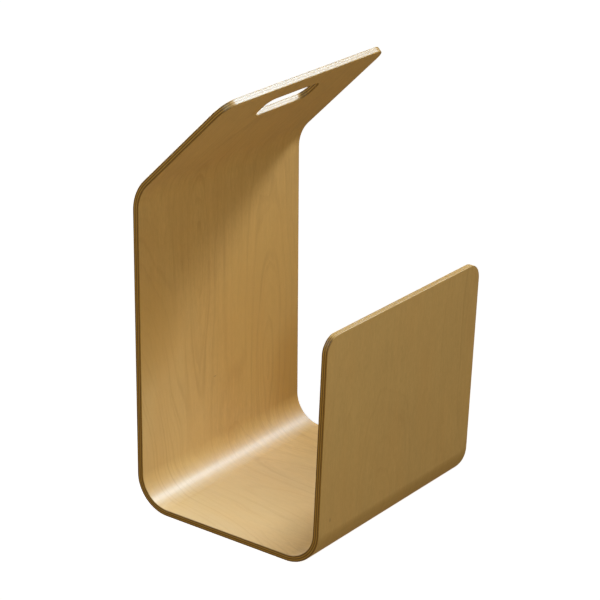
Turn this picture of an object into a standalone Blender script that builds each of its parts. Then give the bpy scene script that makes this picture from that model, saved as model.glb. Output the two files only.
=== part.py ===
"""Magazine rack: one moulded plywood sheet, seven plies thick, bent into a J.

The sheet lies flat on the floor, rises at the back, leans forward over the
bin as a handle panel with a hand slot, and rises again as a short front wall.
Units are metres. +X runs along the width, +Y points to the back and +Z up.
The origin is on the floor, at the centre of the rack's outer box.
"""

import math

import bmesh
import bpy
from mathutils import Matrix, Vector

# Outer faces, measured between the sharp corners that the bends round off.
WIDTH = 0.300
BASE_LENGTH = 0.252
BACK_HEIGHT = 0.380
HANDLE_LENGTH = 0.176
FRONT_HEIGHT = 0.2765

# Lean of each panel from upright, in degrees.
FRONT_LEAN = 0.9
BACK_LEAN = 1.6
HANDLE_LEAN = 44.0

# Bend radii on the outer face, and the turn that one facet of a bend takes.
FRONT_BEND_RADIUS = 0.043
REAR_BEND_RADIUS = 0.043
TOP_BEND_RADIUS = 0.053
FACET_DEGREES = 7.5

# Layers, from the outer face inwards. The glue line is a clear gap.
FACE_THICKNESS = 0.0005
PLY_THICKNESS = 0.00115
GLUE_LINE = 0.0001

# Trimmed outline.
CORNER_RADIUS = 0.020
CORNER_SEGMENTS = 8
SLOT_LENGTH = 0.099
SLOT_HEIGHT = 0.032
SLOT_RADIUS = 0.012
SLOT_SEGMENTS = 6
SLOT_TO_END = 0.0435
SLOT_CUTTER_DEPTH = 0.040

# Shading splits at edges that turn by more than this.
SMOOTH_DEGREES = 20.0

# Name, thickness, colour and roughness of each layer, outermost first.
LAYERS = (
    ("face_veneer_outer", FACE_THICKNESS, (0.42, 0.24, 0.095), 0.38),
    ("cross_ply_outer", PLY_THICKNESS, (0.16, 0.08, 0.022), 0.60),
    ("long_ply_outer", PLY_THICKNESS, (0.33, 0.19, 0.070), 0.60),
    ("core_ply", PLY_THICKNESS, (0.14, 0.07, 0.018), 0.60),
    ("long_ply_inner", PLY_THICKNESS, (0.33, 0.19, 0.070), 0.60),
    ("cross_ply_inner", PLY_THICKNESS, (0.16, 0.08, 0.022), 0.60),
    ("face_veneer_inner", FACE_THICKNESS, (0.46, 0.28, 0.120), 0.36),
)


def clear_scene():
    for obj in list(bpy.data.objects):
        bpy.data.objects.remove(obj)


def new_collection(name):
    collection = bpy.data.collections.new(name)
    bpy.context.scene.collection.children.link(collection)
    return collection


def leaning(degrees):
    """Direction in the YZ plane that rises while it leans towards +Y."""
    angle = math.radians(degrees)
    return Vector((math.sin(angle), math.cos(angle)))


def outer_corners():
    """Sharp corners of the outer face in YZ, from the front wall's top to the handle's end."""
    front_foot = Vector((0.0, 0.0))
    rear_foot = Vector((BASE_LENGTH, 0.0))
    front_top = front_foot + leaning(-FRONT_LEAN) * FRONT_HEIGHT
    back_top = rear_foot + leaning(BACK_LEAN) * BACK_HEIGHT
    handle_end = back_top + leaning(-HANDLE_LEAN) * HANDLE_LENGTH
    return [front_top, front_foot, rear_foot, back_top, handle_end]


def bend(before, corner, after, radius):
    """Centre of a bend and the directions from it to each facet edge.

    The facet edges stand evenly round the bend, so every layer that shares
    the centre has facets parallel to the next layer's.
    """
    back = (before - corner).normalized()
    ahead = (after - corner).normalized()
    opening = math.acos(back.dot(ahead))
    centre = corner + (back + ahead).normalized() * (radius / math.sin(opening / 2))
    tangent = back * (radius / math.tan(opening / 2))
    first = (corner + tangent - centre).normalized()
    turn = math.pi - opening
    facets = max(2, round(math.degrees(turn) / FACET_DEGREES))
    spokes = []
    for i in range(facets + 1):
        angle = turn * i / facets
        spokes.append(Matrix.Rotation(angle, 2) @ first)
    return centre, spokes


def profile(depth):
    """Polyline in YZ that lies the given depth inside the outer face."""
    corners = outer_corners()
    radii = (FRONT_BEND_RADIUS, REAR_BEND_RADIUS, TOP_BEND_RADIUS)
    bends = []
    for i, radius in enumerate(radii):
        centre, spokes = bend(corners[i], corners[i + 1], corners[i + 2], radius)
        bends.append([centre + spoke * (radius - depth) for spoke in spokes])
    points = [corners[0] + inward(corners[0], corners[1]) * depth]
    for arc in bends:
        points.extend(arc)
    points.append(corners[-1] + inward(corners[-2], corners[-1]) * depth)
    return points


def inward(start, end):
    """Unit normal on the left of a run from start to end, which is the bin's side."""
    run = (end - start).normalized()
    return Vector((-run.y, run.x))


def centring_shift():
    """Y shift that puts the origin midway between the front and the back."""
    outline = [point.x for point in profile(0.0)]
    return -(min(outline) + max(outline)) / 2


def make_material(name, colour, roughness):
    material = bpy.data.materials.new(name)
    material.use_nodes = True
    shader = material.node_tree.nodes["Principled BSDF"]
    shader.inputs["Base Color"].default_value = (*colour, 1.0)
    shader.inputs["Roughness"].default_value = roughness
    shader.inputs["Metallic"].default_value = 0.0
    return material


def ribbon(points, shift):
    """Open surface that carries a YZ polyline across the full width."""
    mesh = bmesh.new()
    near = [mesh.verts.new((-WIDTH / 2, p.x + shift, p.y)) for p in points]
    edges = [mesh.edges.new(pair) for pair in zip(near, near[1:])]
    swept = bmesh.ops.extrude_edge_only(mesh, edges=edges)["geom"]
    moved = [item for item in swept if isinstance(item, bmesh.types.BMVert)]
    bmesh.ops.translate(mesh, verts=moved, vec=(WIDTH, 0.0, 0.0))
    return mesh


def round_free_corners(mesh):
    """Rounds the four corners where the sheet's trimmed ends meet its sides."""
    corners = [vert for vert in mesh.verts if len(vert.link_edges) == 2]
    bmesh.ops.bevel(
        mesh,
        geom=corners,
        offset=CORNER_RADIUS,
        offset_type="OFFSET",
        segments=CORNER_SEGMENTS,
        profile=0.5,
        affect="VERTICES",
    )


def make_layer(name, depth, thickness, material, shift, collection):
    """One ply: a bent ribbon given its thickness towards the bin."""
    mesh = ribbon(profile(depth), shift)
    round_free_corners(mesh)
    bmesh.ops.recalc_face_normals(mesh, faces=mesh.faces[:])
    data = bpy.data.meshes.new(name)
    mesh.to_mesh(data)
    mesh.free()
    data.materials.append(material)
    obj = bpy.data.objects.new(name, data)
    collection.objects.link(obj)
    solidify = obj.modifiers.new("ply_thickness", "SOLIDIFY")
    solidify.thickness = thickness
    solidify.offset = -1.0
    solidify.use_even_offset = True
    return obj


def slot_cutter(shift, collection):
    """Rounded block that stands square to the handle panel at the hand slot."""
    corners = outer_corners()
    run = (corners[-1] - corners[-2]).normalized()
    centre = corners[-1] - run * SLOT_TO_END
    mesh = bmesh.new()
    bmesh.ops.create_cube(mesh, size=1.0)
    size = Matrix.Diagonal((SLOT_LENGTH, SLOT_HEIGHT, SLOT_CUTTER_DEPTH, 1.0))
    bmesh.ops.transform(mesh, matrix=size, verts=mesh.verts[:])
    uprights = []
    for edge in mesh.edges:
        along = edge.verts[1].co - edge.verts[0].co
        if abs(along.z) > SLOT_CUTTER_DEPTH / 2:
            uprights.append(edge)
    bmesh.ops.bevel(
        mesh,
        geom=uprights,
        offset=SLOT_RADIUS,
        offset_type="OFFSET",
        segments=SLOT_SEGMENTS,
        profile=0.5,
        affect="EDGES",
    )
    data = bpy.data.meshes.new("slot_cutter")
    mesh.to_mesh(data)
    mesh.free()
    obj = bpy.data.objects.new("slot_cutter", data)
    collection.objects.link(obj)
    obj.location = (0.0, centre.x + shift, centre.y)
    obj.rotation_euler = (math.atan2(run.y, run.x), 0.0, 0.0)
    obj.hide_render = True
    obj.display_type = "WIRE"
    return obj


def cut_slot(obj, cutter):
    boolean = obj.modifiers.new("hand_slot", "BOOLEAN")
    boolean.operation = "DIFFERENCE"
    boolean.solver = "EXACT"
    boolean.object = cutter


def main():
    clear_scene()
    rack = new_collection("magazine_rack")
    cutters = new_collection("cutters")
    root = bpy.data.objects.new("magazine_rack", None)
    rack.objects.link(root)
    shift = centring_shift()
    cutter = slot_cutter(shift, cutters)
    cutter.parent = root
    depth = 0.0
    for name, thickness, colour, roughness in LAYERS:
        material = make_material(name, colour, roughness)
        layer = make_layer(name, depth, thickness, material, shift, rack)
        cut_slot(layer, cutter)
        layer.parent = root
        layer.data.shade_smooth()
        layer.data.set_sharp_from_angle(angle=math.radians(SMOOTH_DEGREES))
        depth += thickness + GLUE_LINE


main()
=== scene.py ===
import math

import bmesh
import bpy
from mathutils import Matrix, Vector
from mathutils.geometry import tessellate_polygon


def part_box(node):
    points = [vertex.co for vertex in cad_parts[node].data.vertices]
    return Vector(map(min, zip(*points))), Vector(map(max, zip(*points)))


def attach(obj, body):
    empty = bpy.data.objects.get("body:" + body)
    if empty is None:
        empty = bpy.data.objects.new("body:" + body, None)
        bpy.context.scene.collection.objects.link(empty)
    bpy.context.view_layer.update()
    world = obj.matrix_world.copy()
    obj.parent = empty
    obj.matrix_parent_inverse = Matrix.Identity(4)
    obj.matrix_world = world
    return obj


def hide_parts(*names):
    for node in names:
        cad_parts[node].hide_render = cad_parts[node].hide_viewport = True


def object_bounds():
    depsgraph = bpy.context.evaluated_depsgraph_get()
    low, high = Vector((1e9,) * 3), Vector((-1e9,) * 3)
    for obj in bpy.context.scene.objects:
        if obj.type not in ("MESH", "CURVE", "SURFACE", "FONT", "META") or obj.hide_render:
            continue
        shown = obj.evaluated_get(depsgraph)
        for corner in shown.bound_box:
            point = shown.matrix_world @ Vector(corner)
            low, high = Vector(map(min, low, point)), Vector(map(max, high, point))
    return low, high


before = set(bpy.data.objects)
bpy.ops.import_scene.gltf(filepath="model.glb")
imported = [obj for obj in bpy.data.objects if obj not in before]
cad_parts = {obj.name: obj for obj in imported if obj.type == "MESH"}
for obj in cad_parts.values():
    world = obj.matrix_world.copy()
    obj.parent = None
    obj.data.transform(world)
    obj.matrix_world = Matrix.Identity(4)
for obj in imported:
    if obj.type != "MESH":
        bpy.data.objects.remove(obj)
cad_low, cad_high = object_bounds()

# ---------------------------------------------------------------------------
# The sheet, as part.py has it. Metres and degrees.
# ---------------------------------------------------------------------------

WIDTH = 0.300
BASE_LENGTH = 0.252
BACK_HEIGHT = 0.380
HANDLE_LENGTH = 0.176
FRONT_HEIGHT = 0.2765
FRONT_LEAN = 0.9
BACK_LEAN = 1.6
HANDLE_LEAN = 44.0
BEND_RADII = (0.043, 0.043, 0.053)
CORNER_RADIUS = 0.020
SLOT_LENGTH = 0.099
SLOT_HEIGHT = 0.032
SLOT_RADIUS = 0.012
SLOT_TO_END = 0.0435

FACE_THICKNESS = 0.0005
PLY_THICKNESS = 0.00115
GLUE_LINE = 0.0001
LAYERS = (
    ("face_veneer_outer", FACE_THICKNESS),
    ("cross_ply_outer", PLY_THICKNESS),
    ("long_ply_outer", PLY_THICKNESS),
    ("core_ply", PLY_THICKNESS),
    ("long_ply_inner", PLY_THICKNESS),
    ("cross_ply_inner", PLY_THICKNESS),
    ("face_veneer_inner", FACE_THICKNESS),
)
SHEET = 2 * FACE_THICKNESS + 5 * PLY_THICKNESS + 6 * GLUE_LINE

# Finish of the trimmed edges, which the CAD model leaves square: a rounded arris on each
# face of the sheet, and a fine nick where each glue line comes out.
ARRIS_RADIUS = 0.0009
GLUE_NICK = 0.00005
NICK_WIDTH = 1.6 * GLUE_NICK

# How finely the meshes follow the sheet.
FACET_DEGREES = 1.5
FLAT_STEP = 0.012
CORNER_STEPS = 24
SLOT_CORNER_STEPS = 12
END_STEPS = 9
ARRIS_STEPS = 5

# A row of points nearer than this to a rounded corner is left out, and so is a ring of the
# trimmed edge nearer than this to the one before it.
LEAST_ROW_GAP = 0.002
LEAST_RING_GAP = 0.00001

# How far below the slot the triangles round it start.
SLOT_MARGIN = 0.004

# A difference that small comes from rounding alone.
ROUNDING = 1e-9


def leaning(degrees):
    angle = math.radians(degrees)
    return Vector((math.sin(angle), math.cos(angle)))


def outer_corners():
    """Sharp corners of the outer face in YZ, from the front wall's top to the handle's end."""
    front_foot = Vector((0.0, 0.0))
    rear_foot = Vector((BASE_LENGTH, 0.0))
    front_top = front_foot + leaning(-FRONT_LEAN) * FRONT_HEIGHT
    back_top = rear_foot + leaning(BACK_LEAN) * BACK_HEIGHT
    handle_end = back_top + leaning(-HANDLE_LEAN) * HANDLE_LENGTH
    return [front_top, front_foot, rear_foot, back_top, handle_end]


class Station:
    """One line across the sheet: its distance along it, its outer point and the way in, in YZ."""

    def __init__(self, along, outer, inward):
        self.along = along
        self.outer = outer
        self.inward = inward


def flat_stations(start, end, along, keep_end=False):
    """Stations of a flat from start to end, and the distance along the sheet at its end."""
    run = end - start
    way = run.normalized()
    inward = Vector((-way.y, way.x))
    steps = max(1, round(run.length / FLAT_STEP))
    stations = []
    for i in range(steps + 1 if keep_end else steps):
        share = i / steps
        stations.append(Station(along + run.length * share, start + run * share, inward))
    return stations, along + run.length


class Bend:
    """The rounding of one sharp corner of the outer face."""

    def __init__(self, before, corner, after, radius):
        back = (before - corner).normalized()
        ahead = (after - corner).normalized()
        opening = math.acos(back.dot(ahead))
        tangent = radius / math.tan(opening / 2)
        self.radius = radius
        self.turn = math.pi - opening
        self.enter = corner + back * tangent
        self.leave = corner + ahead * tangent
        self.centre = corner + (back + ahead).normalized() * (radius / math.sin(opening / 2))

    def stations(self, along):
        """Stations of the bend but its last, and the distance along the sheet at its end.

        Distances run along the middle of the sheet.
        """
        first = (self.enter - self.centre).normalized()
        steps = max(2, round(math.degrees(self.turn) / FACET_DEGREES))
        length = self.turn * (self.radius - SHEET / 2)
        stations = []
        for i in range(steps):
            spoke = Matrix.Rotation(self.turn * i / steps, 2) @ first
            outer = self.centre + spoke * self.radius
            stations.append(Station(along + length * i / steps, outer, -spoke))
        return stations, along + length


def sheet_stations():
    """The whole run of the sheet, where each flat starts, and the run's length."""
    corners = outer_corners()
    stations, starts = [], []
    along, here = 0.0, corners[0]
    for before, corner, after, radius in zip(corners, corners[1:], corners[2:], BEND_RADII):
        bend = Bend(before, corner, after, radius)
        starts.append((along, here))
        flat, along = flat_stations(here, bend.enter, along)
        curve, along = bend.stations(along)
        stations += flat + curve
        here = bend.leave
    starts.append((along, here))
    flat, along = flat_stations(here, corners[-1], along, keep_end=True)
    return stations + flat, starts, along


def middle(values):
    return (min(values) + max(values)) / 2


STATIONS, FLAT_STARTS, LENGTH = sheet_stations()

# What takes the section drawn here, which starts at the front corner, to the frame's Y.
OUTER_LOW, OUTER_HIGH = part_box("face_veneer_outer")
SHIFT = middle((OUTER_LOW.y, OUTER_HIGH.y)) - middle([s.outer.x for s in STATIONS])


def place(along):
    """The station at a distance along the sheet, between the two nearest ones."""
    for a, b in zip(STATIONS, STATIONS[1:]):
        if along <= b.along + ROUNDING:
            share = (along - a.along) / (b.along - a.along)
            inward = a.inward.lerp(b.inward, share).normalized()
            return Station(along, a.outer.lerp(b.outer, share), inward)
    return STATIONS[-1]


def sheet_point(station, x, depth):
    """A point of the sheet in the CAD frame, kept inside the CAD box."""
    p = station.outer + station.inward * depth
    wanted = (x, p.x + SHIFT, p.y)
    return Vector([min(max(w, low), high) for w, low, high in zip(wanted, cad_low, cad_high)])


# ---------------------------------------------------------------------------
# Outline of the sheet and of the hand slot, in distances along and across.
# Each point comes with the way out of the wood there.
# ---------------------------------------------------------------------------


def cross_rows():
    """Distances along the sheet of the rows of points between its rounded corners."""
    low, high = CORNER_RADIUS, LENGTH - CORNER_RADIUS
    between = [
        s.along
        for s in STATIONS
        if s.along - low > LEAST_ROW_GAP and high - s.along > LEAST_ROW_GAP
    ]
    return [low] + between + [high]


def corner_arc(centre, radius, start, steps):
    """Points of a quarter circle from an angle on, both ends included."""
    points = []
    for i in range(steps + 1):
        angle = math.radians(start + 90.0 * i / steps)
        way = Vector((math.cos(angle), math.sin(angle)))
        points.append((centre + way * radius, way))
    return points


def end_points(along, first, way):
    """Points along one end of the sheet, from an across distance to its opposite."""
    return [
        (Vector((along, first - 2 * first * i / END_STEPS)), Vector((way, 0)))
        for i in range(END_STEPS + 1)
    ]


def outline_ring():
    """The sheet's outline, and where its right side starts in it.

    It goes up the left side, round the handle's end, down the right side and round the
    front wall's top.
    """
    half = WIDTH / 2
    inner = half - CORNER_RADIUS
    low, high = CORNER_RADIUS, LENGTH - CORNER_RADIUS

    def corner(along, across, start):
        """A rounded corner without its ends, which the straight runs have."""
        return corner_arc(Vector((along, across)), CORNER_RADIUS, start, CORNER_STEPS)[1:-1]

    ring = [(Vector((row, -half)), Vector((0, -1))) for row in ROWS]
    ring += corner(high, -inner, -90)
    ring += end_points(LENGTH, -inner, 1)
    ring += corner(high, inner, 0)
    right_start = len(ring)
    ring += [(Vector((row, half)), Vector((0, 1))) for row in reversed(ROWS)]
    ring += corner(low, inner, 90)
    ring += end_points(0, inner, -1)
    ring += corner(low, -inner, 180)
    return ring, right_start


def slot_ring():
    """The hand slot's outline."""
    along = LENGTH - SLOT_TO_END
    up = SLOT_HEIGHT / 2 - SLOT_RADIUS
    out = SLOT_LENGTH / 2 - SLOT_RADIUS
    ring = []
    for start, centre in (
        (0, Vector((along + up, out))),
        (90, Vector((along - up, out))),
        (180, Vector((along - up, -out))),
        (270, Vector((along + up, -out))),
    ):
        ring += corner_arc(centre, SLOT_RADIUS, start, SLOT_CORNER_STEPS)
    return [(point, -way) for point, way in ring]


ROWS = cross_rows()
OUTLINE, RIGHT_START = outline_ring()
SLOT = slot_ring()
SLOT_FOOT = LENGTH - SLOT_TO_END - SLOT_HEIGHT / 2 - SLOT_MARGIN
SLOT_ROW = max(i for i, row in enumerate(ROWS) if row < SLOT_FOOT)


# ---------------------------------------------------------------------------
# Plies
# ---------------------------------------------------------------------------


def arris(depth):
    """Inset and tilt of the sheet's trimmed edge at a depth from the outer face.

    The tilt is 0 where the surface looks straight out of the outer face, 90 where
    it looks out of the edge and 180 where it looks out of the inner face.
    """
    outer_half = depth < SHEET / 2
    away = depth if outer_half else SHEET - depth
    share = max(0.0, 1.0 - away / ARRIS_RADIUS)
    inset = ARRIS_RADIUS * (1.0 - math.sqrt(max(0.0, 1.0 - share * share)))
    tilt = math.degrees(math.acos(min(1.0, share)))
    return inset, tilt if outer_half else 180.0 - tilt


def edge_levels(depth, thickness):
    """Depth, inset and tilt of each ring of a ply's trimmed edge, from the outer face inwards."""
    end = depth + thickness
    depths = {depth, depth + NICK_WIDTH, end - NICK_WIDTH, end}
    for i in range(ARRIS_STEPS + 1):
        fall = ARRIS_RADIUS * (1.0 - math.cos(math.radians(90.0 * i / ARRIS_STEPS)))
        depths |= {fall, SHEET - fall}

    levels = []
    for d in sorted(d for d in depths if depth - ROUNDING <= d <= end + ROUNDING):
        if levels and d - levels[-1][0] < LEAST_RING_GAP:
            continue
        inset, tilt = arris(d)
        at_outer_glue = d - depth < ROUNDING and depth > 0
        at_inner_glue = end - d < ROUNDING and end < SHEET - ROUNDING
        if at_outer_glue or at_inner_glue:
            inset += GLUE_NICK
        levels.append((d, inset, tilt))
    return levels


class PlyMesh:
    """The points and faces of one ply while it is built, with what its wood needs to know."""

    def __init__(self):
        self.places = []
        self.normals = []
        self.grain = []
        self.sideways = []
        self.faces = []

    def add_ring(self, ring, depth, inset, tilt):
        """Adds one ring of the trimmed edge, and gives its points' numbers."""
        first = len(self.places)
        angle = math.radians(tilt)
        for point, way in ring:
            where = point - way * inset
            station = place(where.x)
            ahead = Vector((station.inward.y, -station.inward.x))
            out_of_edge = Vector((way.y, ahead.x * way.x, ahead.y * way.x))
            inward = Vector((0.0, station.inward.x, station.inward.y))
            normal = out_of_edge * math.sin(angle) - inward * math.cos(angle)
            self.places.append(sheet_point(station, where.y, depth))
            self.normals.append(normal.normalized())
            self.grain.append((where.y, where.x, depth))
            self.sideways.append(abs(way.y))
        return list(range(first, len(self.places)))

    def add_strip(self, lower, upper):
        """Quads between two rings with as many points."""
        for i in range(len(lower)):
            j = (i + 1) % len(lower)
            self.faces.append((lower[i], lower[j], upper[j], upper[i]))

    def add_broad_side(self, outer, hole):
        """One broad side: quads across the sheet up to the slot, and triangles round the slot."""
        right_end = RIGHT_START + len(ROWS)
        left = outer[: len(ROWS)]
        right = list(reversed(outer[RIGHT_START:right_end]))
        for i in range(SLOT_ROW):
            self.faces.append((left[i], left[i + 1], right[i + 1], right[i]))
        self.faces.append(tuple(outer[right_end - 1 :] + [outer[0]]))
        around = outer[SLOT_ROW : right_end - SLOT_ROW]
        flat = [
            [Vector((self.grain[v][0], self.grain[v][1], 0.0)) for v in part]
            for part in (around, hole)
        ]
        both = around + hole
        for triangle in tessellate_polygon(flat):
            self.faces.append(tuple(both[i] for i in triangle))

    def to_mesh(self, name):
        """The ply as a mesh with the normals of the true sheet and the values its wood reads."""
        mesh = bpy.data.meshes.new(name)
        mesh.from_pydata(self.places, [], self.faces)
        shape = bmesh.new()
        shape.from_mesh(mesh)
        bmesh.ops.recalc_face_normals(shape, faces=shape.faces[:])
        shape.to_mesh(mesh)
        shape.free()
        mesh.shade_smooth()
        mesh.normals_split_custom_set_from_vertices(self.normals)
        attribute = mesh.attributes.new("grain", "FLOAT_VECTOR", "POINT")
        attribute.data.foreach_set("vector", [c for row in self.grain for c in row])
        attribute = mesh.attributes.new("sideways", "FLOAT", "POINT")
        attribute.data.foreach_set("value", self.sideways)
        return mesh


def ply_mesh(name, depth, thickness, materials):
    """One ply of the bent sheet, closed, with its slot, its arrises and its grain coordinates.

    The last of its materials goes on its trimmed edges.
    """
    ply = PlyMesh()
    rings = [
        (ply.add_ring(OUTLINE, *level), ply.add_ring(SLOT, *level))
        for level in edge_levels(depth, thickness)
    ]
    for (outer, hole), (next_outer, next_hole) in zip(rings, rings[1:]):
        ply.add_strip(outer, next_outer)
        ply.add_strip(hole, next_hole)
    edge_faces = len(ply.faces)
    ply.add_broad_side(*rings[0])
    ply.add_broad_side(*rings[-1])

    mesh = ply.to_mesh(name)
    for material in materials:
        mesh.materials.append(material)
    for polygon in mesh.polygons[:edge_faces]:
        polygon.material_index = len(materials) - 1
    return mesh


# ---------------------------------------------------------------------------
# Shader nodes
# ---------------------------------------------------------------------------

# Sockets of a colour mix node.
MIX_SHARE, MIX_A, MIX_B, MIX_RESULT = 0, 6, 7, 2

BUMP_DISTANCE = 0.00006


def rgb(red, green, blue):
    return (red, green, blue, 1.0)


class Shader:
    """A material's node tree, with short calls for the nodes used here.

    A value is a number, a colour or another node's output.
    """

    def __init__(self, name):
        self.material = bpy.data.materials.new(name)
        self.material.use_nodes = True
        self.tree = self.material.node_tree
        self.surface = self.tree.nodes["Principled BSDF"]

    def set(self, socket, value):
        if isinstance(value, bpy.types.NodeSocket):
            self.tree.links.new(value, socket)
        else:
            socket.default_value = value

    def finish(self, looks):
        """Gives the surface its looks, by the names of its sockets."""
        for name, value in looks.items():
            self.set(self.surface.inputs[name], value)
        return self.material

    def math(self, operation, a, b=0.0, c=0.0):
        node = self.tree.nodes.new("ShaderNodeMath")
        node.operation = operation
        for socket, value in zip(node.inputs, (a, b, c)):
            self.set(socket, value)
        return node.outputs[0]

    def times(self, a, b):
        return self.math("MULTIPLY", a, b)

    def minus(self, a, b):
        return self.math("SUBTRACT", a, b)

    def times_plus(self, a, b, c):
        """a times b, plus c."""
        return self.math("MULTIPLY_ADD", a, b, c)

    def squares(self, a, b):
        """The sum of two squares."""
        return self.math("ADD", self.times(a, a), self.times(b, b))

    def ramp(self, value, low, high, to_low=0.0, to_high=1.0):
        """A smooth rise from to_low at low to to_high at high, flat beyond both."""
        node = self.tree.nodes.new("ShaderNodeMapRange")
        node.interpolation_type = "SMOOTHSTEP"
        for i, v in enumerate((value, low, high, to_low, to_high)):
            self.set(node.inputs[i], v)
        return node.outputs[0]

    def mix(self, share, a, b, blend="MIX"):
        """Colour b over a. A share under 0 or over 1 counts as 0 or 1."""
        node = self.tree.nodes.new("ShaderNodeMix")
        node.data_type = "RGBA"
        node.blend_type = blend
        self.set(node.inputs[MIX_SHARE], share)
        self.set(node.inputs[MIX_A], a)
        self.set(node.inputs[MIX_B], b)
        return node.outputs[MIX_RESULT]

    def attribute(self, name, output):
        node = self.tree.nodes.new("ShaderNodeAttribute")
        node.attribute_name = name
        return node.outputs[output]

    def bump(self, height, strength):
        node = self.tree.nodes.new("ShaderNodeBump")
        node.inputs["Strength"].default_value = strength
        node.inputs["Distance"].default_value = BUMP_DISTANCE
        self.set(node.inputs["Height"], height)
        return node.outputs[0]


class Wood(Shader):
    """A shader in the sheet's own coordinates, in metres across, along and in depth.

    The seed shifts all its noises.
    """

    def __init__(self, name, seed):
        super().__init__(name)
        self.seed = seed
        split = self.tree.nodes.new("ShaderNodeSeparateXYZ")
        self.set(split.inputs[0], self.attribute("grain", "Vector"))
        self.across, self.along, self.depth = split.outputs

    def noise(self, scales, shift=0.0, detail=2.0, rough=0.5):
        """Noise from 0 to 1, with its own scale per metre across, along and in depth."""
        joined = self.tree.nodes.new("ShaderNodeCombineXYZ")
        places = (self.across, self.along, self.depth)
        for socket, where, scale in zip(joined.inputs, places, scales):
            self.set(socket, self.times_plus(where, scale, self.seed + shift))
        node = self.tree.nodes.new("ShaderNodeTexNoise")
        node.inputs["Scale"].default_value = 1.0
        node.inputs["Detail"].default_value = detail
        node.inputs["Roughness"].default_value = rough
        self.set(node.inputs["Vector"], joined.outputs[0])
        return node.outputs["Fac"]

    def ellipse(self, middle_x, middle_s, half_x, half_s):
        """Squared distance from the middle of an ellipse on the sheet, 1 on its rim."""
        side = self.math("DIVIDE", self.minus(self.across, middle_x), half_x)
        run = self.math("DIVIDE", self.minus(self.along, middle_s), half_s)
        return self.squares(side, run)


# ---------------------------------------------------------------------------
# Face veneer: pale wood under satin lacquer. Its grain runs along the sheet.
# ---------------------------------------------------------------------------

LIGHT_WOOD = (0.612, 0.390, 0.119)
DARK_WOOD = (0.512, 0.314, 0.088)
RING_BROWN = rgb(0.360, 0.172, 0.030)
PORE_BROWN = rgb(0.260, 0.132, 0.034)
WARM_CAST = rgb(0.590, 0.332, 0.086)
MARK_BROWN = rgb(0.140, 0.062, 0.020)

# How much each of them, and a patch of painted light and shade, covers what is under it.
RING_SHARE = 0.58
PORE_SHARE = 0.16
WARM_SHARE = 0.22
MARK_SHARE = 0.45
LIGHT_AND_SHADE_SHARE = 0.55

# Growth rings: how many to a metre, how far slow and fine noise bend them, and how wide
# two hearts blend, in metres. Late wood grows over a ring up to its peak, then stops short.
RINGS_PER_METRE = 170.0
SLOW_WANDER = 0.040
FINE_WANDER = 0.0045
HEART_BLEND = 0.02
LATE_START, LATE_PEAK = 0.45, 0.93

# Rings are plainest up to one distance from the hearts and fade up to another, to a part of
# their strength. The faintest ring of all has this part of the plainest one's.
PLAIN_UP_TO, FADED_FROM = 0.030, 0.080
FADED_RINGS = 0.35
FAINTEST_RING = 0.10

# A contour's line, from its core to half of its width, in metres.
CONTOUR_CORE, CONTOUR_HALF = 0.0002, 0.0024

# Noises: scales per metre across, along and in depth, shift, and for some detail and roughness.
SLOW_BENDING = ((16.0, 3.5, 0.0), 0.0)
FINE_BENDING = ((110.0, 14.0, 0.0), 7.0)
RING_PATCHES = ((20.0, 5.0, 0.0), 3.0)
RING_WEAR = ((14.0, 9.0, 0.0), 41.0)
FIBRE = ((1300.0, 30.0, 900.0), 11.0, 2.0, 0.6)
FLECK = ((560.0, 130.0, 60.0), 29.0, 2.0, 0.6)
STREAK = ((240.0, 7.0, 60.0), 13.0, 2.0, 0.55)
MOTTLE = ((75.0, 24.0, 0.0), 37.0, 3.0, 0.6)
BROAD = ((9.0, 4.0, 0.0), 17.0)
PORES = ((1500.0, 170.0, 1500.0), 19.0, 1.0)
WARMTH = ((30.0, 7.0, 0.0), 23.0)


def heart_distance(wood, centre, foot, slope, start):
    """Distance from a flat-sawn figure's heart: nested arches that point along the sheet."""
    side = wood.minus(wood.across, centre)
    rise = wood.times(wood.minus(wood.along, foot), slope)
    return wood.minus(wood.math("SQRT", wood.squares(side, rise)), start)


def growth_rings(wood, hearts, contours):
    """Strength of the growth rings, cut nearly flat: arches about each heart, bent by noise.

    Most rings are faint and a few are plain, each with its own strength. A contour is
    one plainer ring at its own distance from the hearts.
    """
    field = None
    for heart in hearts:
        one = heart_distance(wood, *heart)
        field = one if field is None else wood.math("SMOOTH_MIN", field, one, HEART_BLEND)
    field = wood.times_plus(wood.noise(*SLOW_BENDING), SLOW_WANDER, field)
    field = wood.times_plus(wood.noise(*FINE_BENDING), FINE_WANDER, field)

    count = wood.times(field, RINGS_PER_METRE)
    turn = wood.math("FRACT", count)
    late = wood.times(wood.ramp(turn, LATE_START, LATE_PEAK), wood.ramp(turn, 1.0, LATE_PEAK))
    own = wood.tree.nodes.new("ShaderNodeTexWhiteNoise")
    own.noise_dimensions = "1D"
    wood.set(own.inputs["W"], wood.math("ADD", wood.math("FLOOR", count), wood.seed))
    plain = wood.ramp(own.outputs["Value"], 0.30, 1.0, FAINTEST_RING, 1.0)
    # Noise stays near its middle, so a ramp stretches the part of it that occurs.
    patch = wood.ramp(wood.noise(*RING_PATCHES), 0.36, 0.66)
    near_hearts = wood.ramp(field, FADED_FROM, PLAIN_UP_TO, FADED_RINGS, 1.0)
    rings = wood.times(late, plain)
    rings = wood.times(rings, wood.times_plus(patch, 0.7, 0.3))
    rings = wood.times(rings, near_hearts)

    worn = wood.ramp(wood.noise(*RING_WEAR), 0.38, 0.62)
    for contour, strength in contours:
        away = wood.math("ABSOLUTE", wood.minus(field, contour))
        line = wood.ramp(away, CONTOUR_HALF, CONTOUR_CORE, 0.0, strength)
        line = wood.times(line, wood.times_plus(worn, 0.75, 0.25))
        rings = wood.math("MAXIMUM", rings, line)
    return rings


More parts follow.
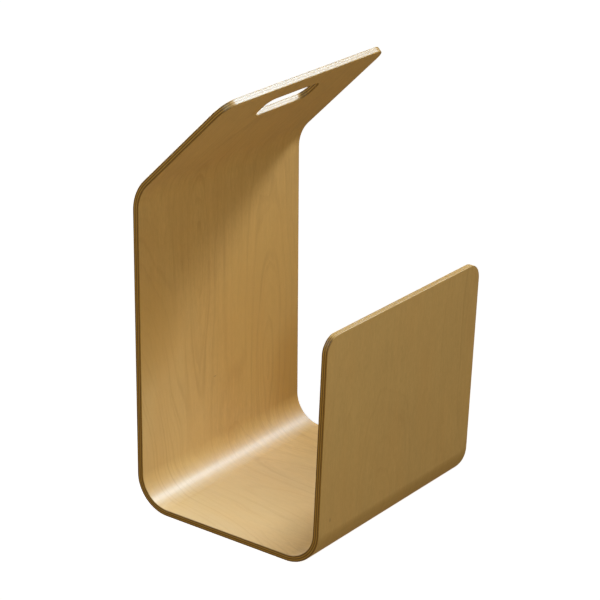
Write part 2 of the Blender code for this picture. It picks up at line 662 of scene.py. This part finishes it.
def face_material(name, seed, hearts, contours, marks, tint, streaks, light_and_shade_patches=()):
    """A face veneer. The tint multiplies its two tones, and streaks is the weight of its streaks."""
    wood = Wood(name, seed)
    rings = growth_rings(wood, hearts, contours)
    fibre = wood.noise(*FIBRE)
    broad = wood.noise(*BROAD)
    pores = wood.ramp(wood.noise(*PORES), 0.64, 0.80)

    # The ground colour, between two tones.
    light = rgb(*(c * t for c, t in zip(LIGHT_WOOD, tint)))
    dark = rgb(*(c * t for c, t in zip(DARK_WOOD, tint)))
    shade = wood.times_plus(wood.noise(*STREAK), streaks, -1.55 - 0.5 * streaks)
    for part, weight in (
        (fibre, 1.00),
        (wood.noise(*FLECK), 1.50),
        (wood.noise(*MOTTLE), 1.00),
        (broad, 0.60),
    ):
        shade = wood.times_plus(part, weight, shade)
    colour = wood.mix(shade, light, dark)

    # Patches of painted light and shade: pale whitish ones paint sheen and light, darker ones paint
    # shade. Under some the figure is fainter.
    for middle_x, middle_s, half_x, half_s, fade, light_and_shade_colour in light_and_shade_patches:
        away = wood.ellipse(middle_x, middle_s, half_x, half_s)
        share = wood.times(wood.ramp(away, 1.0, 0.0), LIGHT_AND_SHADE_SHARE)
        colour = wood.mix(share, colour, light_and_shade_colour)
        rings = wood.times(rings, wood.times_plus(share, -fade, 1.0))

    # The figure and pores over it, a warm cast in places, and small pin marks.
    colour = wood.mix(wood.times(rings, RING_SHARE), colour, RING_BROWN)
    colour = wood.mix(wood.times(pores, PORE_SHARE), colour, PORE_BROWN)
    warm = wood.ramp(wood.noise(*WARMTH), 0.35, 0.75)
    colour = wood.mix(wood.times(warm, WARM_SHARE), colour, WARM_CAST)
    for mark in marks:
        spot = wood.ramp(wood.ellipse(*mark), 1.0, 0.1)
        colour = wood.mix(wood.times(spot, MARK_SHARE), colour, MARK_BROWN)

    gloss = wood.times_plus(broad, 0.06, wood.times_plus(fibre, 0.08, 0.56))
    relief = wood.times_plus(rings, -0.2, wood.times_plus(pores, -0.6, fibre))
    return wood.finish(
        {
            "Base Color": colour,
            "Roughness": gloss,
            "IOR": 1.5,
            "Specular IOR Level": 0.9,
            "Coat Weight": 0.5,
            "Coat Roughness": 0.40,
            "Normal": wood.bump(relief, 0.25),
        }
    )


def up_the_back(height):
    """Distance along the sheet of a height on the back wall."""
    start, foot = FLAT_STARTS[2]
    return start + (height - foot.y) / math.cos(math.radians(BACK_LEAN))


def up_the_front(height):
    """Distance along the sheet of a height on the front wall."""
    _, top = FLAT_STARTS[0]
    return (top.y - height) / math.cos(math.radians(FRONT_LEAN))


def outer_veneer():
    """The veneer on the outside, a little cooler and plainer than the inner one."""
    return face_material(
        "veneer_outer",
        seed=31.0,
        # Across and along, slope, and what is taken off the distance.
        hearts=(
            (-0.030, up_the_front(0.030), 0.36, 0.0),
            (0.140, up_the_front(0.200), 0.12, 0.0),
            (0.020, up_the_back(0.200), 0.13, 0.0),
        ),
        # Distance and strength.
        contours=((0.0520, 0.18), (0.0670, 0.24)),
        # Across and along, and half of the width and of the length.
        marks=((-0.1286, up_the_front(0.055), 0.0015, 0.0033),),
        tint=(0.945, 0.965, 1.0),
        streaks=0.6,
    )


def inner_veneer():
    """The veneer on the bin's side. Its lists read as the outer one's do."""
    return face_material(
        "veneer_inner",
        seed=4.0,
        hearts=(
            (0.088, up_the_back(0.090), 0.150, 0.0),
            (-0.200, up_the_back(0.020), 0.460, 0.10),
            (-0.040, up_the_back(0.260), 0.150, 0.0),
            (0.030, up_the_back(-0.140), 0.200, 0.0),
        ),
        contours=((0.0435, 0.62), (0.0560, 0.48), (0.0700, 0.36)),
        marks=((-0.015, up_the_back(0.118), 0.0034, 0.0009),),
        tint=(1.0, 1.0, 1.0),
        streaks=1.0,
        # Patches of painted light and shade on the bin's inside.
        # Across and along, half of the width and of the length, how much the figure
        # fades, and the colour.
        light_and_shade_patches=(
            # Pale and whitish: painted sheen and light low on the left of the bin, up the back
            # wall's lower part.
            (-0.170, up_the_back(0.060), 0.190, 0.270, 0.7, rgb(0.665, 0.480, 0.200)),
            # Pale and whitish: painted sheen on the base, on its left and towards the rear bend.
            (-0.080, up_the_back(-0.080), 0.200, 0.115, 0.7, rgb(0.520, 0.372, 0.172)),
            # A painted pool of warm light on the right of the back wall.
            (0.080, up_the_back(0.185), 0.110, 0.170, 0.0, rgb(0.645, 0.402, 0.103)),
            # Darker and deeper: painted shade low on the right of the back wall.
            (0.155, up_the_back(0.073), 0.075, 0.095, 0.0, rgb(0.470, 0.235, 0.012)),
            # Darker and deeper: painted shade high on the left of the back wall, in the handle's
            # shadow.
            (-0.150, up_the_back(0.213), 0.085, 0.085, 0.0, rgb(0.510, 0.290, 0.048)),
        ),
    )


# ---------------------------------------------------------------------------
# Trimmed edges. The plies show long grain and end grain in turn.
# ---------------------------------------------------------------------------

# Light tone, dark tone, and what the sheet's long sides are multiplied by. On the sides this is
# painted shade, as they face away from the key light;
# for the cross plies it is also the darker end grain that shows there.
LONG_TONES = (rgb(0.68, 0.480, 0.215), rgb(0.53, 0.350, 0.135), rgb(0.45, 0.350, 0.115))
CROSS_TONES = (rgb(0.52, 0.340, 0.130), rgb(0.37, 0.225, 0.072), rgb(0.20, 0.140, 0.046))

# Specks of a deeper tone: its part of the dark one, and how much it covers.
SPECK_TONE = 0.55
SPECK_SHARE = 0.22
SPECK_SCALES = (1400.0, 1400.0, 3200.0)


def edge_material(name, seed, runs_along):
    """The trimmed edge of a ply whose grain runs along the sheet, or else across it."""
    wood = Wood(name, seed)
    light, dark, side_grain_and_shade = LONG_TONES if runs_along else CROSS_TONES
    if runs_along:
        fibre_scales = (1400.0, 40.0, 5200.0)
        slow_scales = (120.0, 9.0, 300.0)
    else:
        fibre_scales = (40.0, 1400.0, 5200.0)
        slow_scales = (9.0, 120.0, 300.0)
    fibre = wood.noise(fibre_scales, rough=0.6)
    slow = wood.noise(slow_scales, 5.0)
    speck = wood.ramp(wood.noise(SPECK_SCALES, 9.0, detail=1.0), 0.60, 0.80)

    shade = wood.times_plus(fibre, 0.5, wood.times_plus(slow, 1.1, -0.35))
    colour = wood.mix(shade, light, dark)
    deep = rgb(*(SPECK_TONE * c for c in dark[:3]))
    colour = wood.mix(wood.times(speck, SPECK_SHARE), colour, deep)
    # Painted shade: the sheet's long sides are darkened, over the cross plies' darker end grain.
    side = wood.ramp(wood.attribute("sideways", "Fac"), 0.20, 0.70)
    colour = wood.mix(side, colour, side_grain_and_shade, "MULTIPLY")
    return wood.finish(
        {
            "Base Color": colour,
            "Roughness": wood.times_plus(fibre, 0.14, 0.30),
            "IOR": 1.5,
            "Specular IOR Level": 0.36,
            "Normal": wood.bump(fibre, 0.30),
        }
    )


# ---------------------------------------------------------------------------
# Build the rack
# ---------------------------------------------------------------------------

# Each ply's materials, with that of its trimmed edges last.
MATERIALS = {
    "face_veneer_outer": (outer_veneer(), edge_material("veneer_outer_edge", 41.0, True)),
    "cross_ply_outer": (edge_material("cross_ply_outer_wood", 71.0, False),),
    "long_ply_outer": (edge_material("long_ply_outer_wood", 53.0, True),),
    "core_ply": (edge_material("core_ply_wood", 83.0, False),),
    "long_ply_inner": (edge_material("long_ply_inner_wood", 67.0, True),),
    "cross_ply_inner": (edge_material("cross_ply_inner_wood", 97.0, False),),
    "face_veneer_inner": (inner_veneer(), edge_material("veneer_inner_edge", 47.0, True)),
}

scene = bpy.context.scene
plies = []
depth = 0.0
for node, thickness in LAYERS:
    mesh = ply_mesh(node + "_sheet", depth, thickness, MATERIALS[node])
    ply = bpy.data.objects.new(node + "_sheet", mesh)
    scene.collection.objects.link(ply)
    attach(ply, "root")
    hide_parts(node)
    plies.append(ply)
    depth += thickness + GLUE_LINE

# ---------------------------------------------------------------------------
# Studio
# ---------------------------------------------------------------------------

# Soft warm light of the room, by the side it comes from.
ROOM = (
    ((-1, 0, 0), (0.830, 0.690, 0.380)),
    ((0, -1, 0), (0.205, 0.165, 0.085)),
    ((0, 0, -1), (0.400, 0.285, 0.145)),
    ((1, 0, 0), (0.080, 0.050, 0.010)),
)

# Half of the floor's width, and how far it lies under the rack.
FLOOR_HALF = 15
FLOOR_DROP = 0.0002

# Where the lamps look, the way from there to the key light, and distances and sizes in metres.
RACK_MIDDLE = (0, 0, 0.25)
PANEL_TARGET = (0, 0, 0.2)
LEFT_OF_BIN = (-0.2, 0, 0)
KEY_WAY = (0.650, -0.215, 0.729)
KEY_SIZE = (0.55, 0.55)
FAR = 2.6
PANEL_DISTANCE = 1.3
PANEL_SIZE = (0.6, 0.6)

# Elevations of the panels, in degrees.
LOW_ANGLE, HIGH_ANGLE = 12, 42

# The photograph's viewpoint, in metres, degrees and millimetres.
CAMERA_PLACE = (-2.12584, -1.50190, 1.28933)
CAMERA_HEADING = 35.441
CAMERA_PITCH = -21.950
CAMERA_ROLL = 1.781
CAMERA_LENS = 148.92
CAMERA_SENSOR = 36.0
CAMERA_CLIPS = (0.1, 60.0)

# The lamps light only the rack, so it casts no shadow on the floor.
lit = bpy.data.collections.new("lit_by_lamps")
for ply in plies:
    lit.objects.link(ply)


def add_floor():
    """Pale paper that the rack stands on. The rack doesn't mirror it or take light from it."""
    half = FLOOR_HALF
    mesh = bpy.data.meshes.new("studio_floor")
    corners = [(-half, -half, 0), (half, -half, 0), (half, half, 0), (-half, half, 0)]
    mesh.from_pydata(corners, [], [(0, 1, 2, 3)])
    floor = bpy.data.objects.new("studio_floor", mesh)
    scene.collection.objects.link(floor)
    floor.location.z = -FLOOR_DROP
    floor.visible_diffuse = False
    floor.visible_glossy = False
    paper = Shader("studio_paper").finish(
        {
            "Base Color": rgb(0.55, 0.61, 0.76),
            "Roughness": 0.9,
            "Emission Color": rgb(1.0, 1.0, 1.0),
            "Emission Strength": 0.97,
        }
    )
    mesh.materials.append(paper)


def room_lobe(tree, way, side, colour):
    """Light from one side: its colour by the squared cosine of the angle to it."""
    facing = tree.nodes.new("ShaderNodeVectorMath")
    facing.operation = "DOT_PRODUCT"
    facing.inputs[1].default_value = side
    tree.links.new(way, facing.inputs[0])
    ahead = tree.nodes.new("ShaderNodeMath")
    ahead.operation = "MAXIMUM"
    ahead.inputs[1].default_value = 0.0
    tree.links.new(facing.outputs["Value"], ahead.inputs[0])
    squared = tree.nodes.new("ShaderNodeMath")
    squared.operation = "MULTIPLY"
    tree.links.new(ahead.outputs[0], squared.inputs[0])
    tree.links.new(ahead.outputs[0], squared.inputs[1])
    lobe = tree.nodes.new("ShaderNodeVectorMath")
    lobe.operation = "SCALE"
    lobe.inputs[0].default_value = colour
    tree.links.new(squared.outputs[0], lobe.inputs["Scale"])
    return lobe.outputs["Vector"]


def add_room():
    """The world: the room's soft light, and plain white where the camera looks past the rack."""
    scene.world = bpy.data.worlds.new("studio")
    scene.world.use_nodes = True
    tree = scene.world.node_tree
    way = tree.nodes.new("ShaderNodeTexCoord").outputs["Generated"]
    glow = None
    for side, colour in ROOM:
        lobe = room_lobe(tree, way, side, colour)
        if glow is None:
            glow = lobe
            continue
        total = tree.nodes.new("ShaderNodeVectorMath")
        total.operation = "ADD"
        tree.links.new(glow, total.inputs[0])
        tree.links.new(lobe, total.inputs[1])
        glow = total.outputs["Vector"]
    seen = tree.nodes.new("ShaderNodeLightPath")
    backdrop = tree.nodes.new("ShaderNodeMix")
    backdrop.data_type = "RGBA"
    backdrop.inputs[MIX_B].default_value = rgb(1.0, 1.0, 1.0)
    tree.links.new(seen.outputs["Is Camera Ray"], backdrop.inputs[MIX_SHARE])
    tree.links.new(glow, backdrop.inputs[MIX_A])
    tree.links.new(backdrop.outputs[MIX_RESULT], tree.nodes["Background"].inputs["Color"])


def softbox(name, direction, distance, size, power, target, reach="both"):
    """A rectangular lamp for the rack alone, with its power as red, green and blue watts.

    Its light reaches diffuse surfaces, glossy ones or both.
    """
    strongest = max(power)
    lamp = bpy.data.lights.new(name, "AREA")
    lamp.shape = "RECTANGLE"
    lamp.size, lamp.size_y = size
    lamp.energy = strongest
    lamp.color = tuple(p / strongest for p in power)
    obj = bpy.data.objects.new(name, lamp)
    scene.collection.objects.link(obj)
    way = Vector(direction).normalized()
    obj.location = Vector(target) + way * distance
    obj.rotation_mode = "QUATERNION"
    obj.rotation_quaternion = (-way).to_track_quat("-Z", "Y")
    obj.visible_camera = False
    obj.visible_diffuse = reach != "glossy"
    obj.visible_glossy = reach != "diffuse"
    obj.light_linking.receiver_collection = lit


def panel(name, azimuth, elevation, power, reach="both"):
    """A square softbox near the rack, round it at an azimuth from +X and up at an elevation."""
    turn, rise = math.radians(azimuth), math.radians(elevation)
    flat = math.cos(rise)
    direction = (math.cos(turn) * flat, math.sin(turn) * flat, math.sin(rise))
    softbox(name, direction, PANEL_DISTANCE, PANEL_SIZE, power, PANEL_TARGET, reach)


def add_camera():
    optics = bpy.data.cameras.new("camera")
    optics.lens = CAMERA_LENS
    optics.sensor_width = CAMERA_SENSOR
    optics.clip_start, optics.clip_end = CAMERA_CLIPS
    camera = bpy.data.objects.new("camera", optics)
    scene.collection.objects.link(camera)
    camera.matrix_world = (
        Matrix.Translation(CAMERA_PLACE)
        @ Matrix.Rotation(math.radians(CAMERA_HEADING - 90.0), 4, "Z")
        @ Matrix.Rotation(math.radians(CAMERA_PITCH + 90.0), 4, "X")
        @ Matrix.Rotation(math.radians(CAMERA_ROLL), 4, "Z")
    )
    scene.camera = camera


scene.view_settings.view_transform = "Standard"
add_floor()
add_room()
softbox("key", KEY_WAY, FAR, KEY_SIZE, (61.4, 61.0, 56.5), RACK_MIDDLE, "diffuse")
softbox("key_gloss", KEY_WAY, FAR, KEY_SIZE, (52.0, 70.0, 87.0), RACK_MIDDLE, "glossy")
softbox("back_fill", (0.25, 0.90, 0.42), FAR, (1.8, 1.2), (30.0, 27.0, 25.0), RACK_MIDDLE)
panel("front_low", 225, LOW_ANGLE, (2.7, 2.65, 2.5))
panel("front_high", 225, HIGH_ANGLE, (1.8, 1.8, 1.6), "diffuse")
panel("front_gloss", 225, HIGH_ANGLE, (16.0, 16.0, 11.0), "glossy")
panel("right_high", 0, HIGH_ANGLE, (1.4, 1.7, 1.1), "diffuse")
panel("right_gloss", 0, HIGH_ANGLE, (1.0, 2.2, 3.3), "glossy")
panel("rear_left", 135, HIGH_ANGLE, (5.4, 6.2, 7.0), "diffuse")
softbox(
    "low_gloss",
    (-0.10, 0.75, 0.65),
    1.1,
    (0.5, 0.5),
    (20.0, 19.5, 18.7),
    LEFT_OF_BIN,
    "glossy",
)
add_camera()

bpy.context.view_layer.update()
